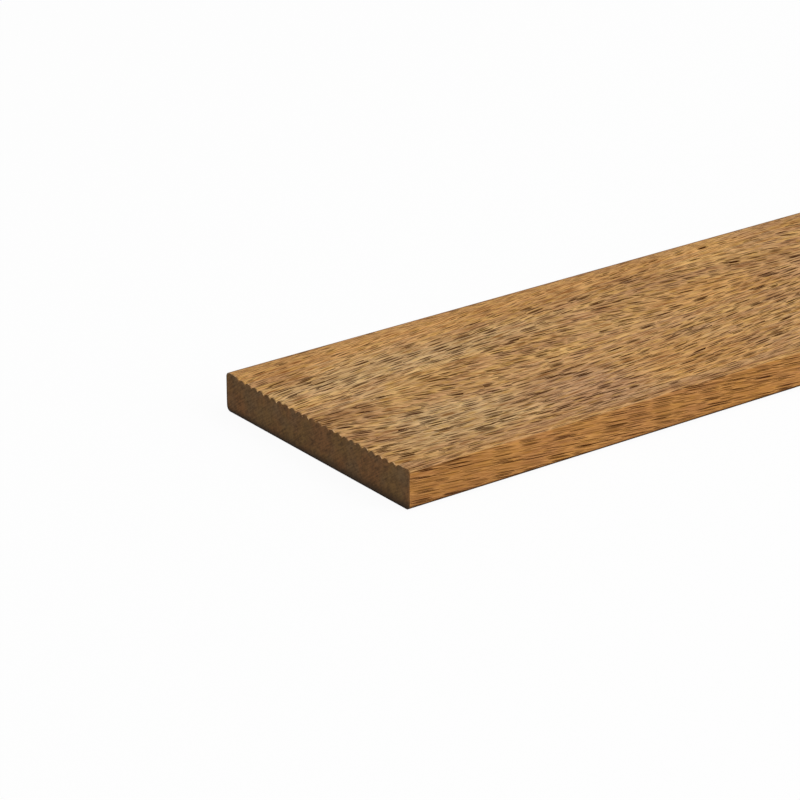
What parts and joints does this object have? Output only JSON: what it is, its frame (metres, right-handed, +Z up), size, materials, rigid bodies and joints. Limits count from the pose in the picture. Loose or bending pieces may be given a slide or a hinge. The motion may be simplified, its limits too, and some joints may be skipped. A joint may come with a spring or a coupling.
{
  "type": "decking board",
  "caption": "Long flat hardwood decking board with a finely reeded upper face between plain margins, rounded arrises, square ends and a flat underside that lies on joists.",
  "frame": {"origin": "middle of the flat underside, halfway along the board and halfway across it", "axes": "+X along the board's length, +Y across its width, +Z up out of the reeded face"},
  "size_m": [1.8, 0.14, 0.019],
  "materials": {
    "hardwood": "planed and moulded, unoiled, warm brown with dark open pores"
  },
  "bodies": {
    "root": {"decking_board": "hardwood"}
  },
  "joints": []
}
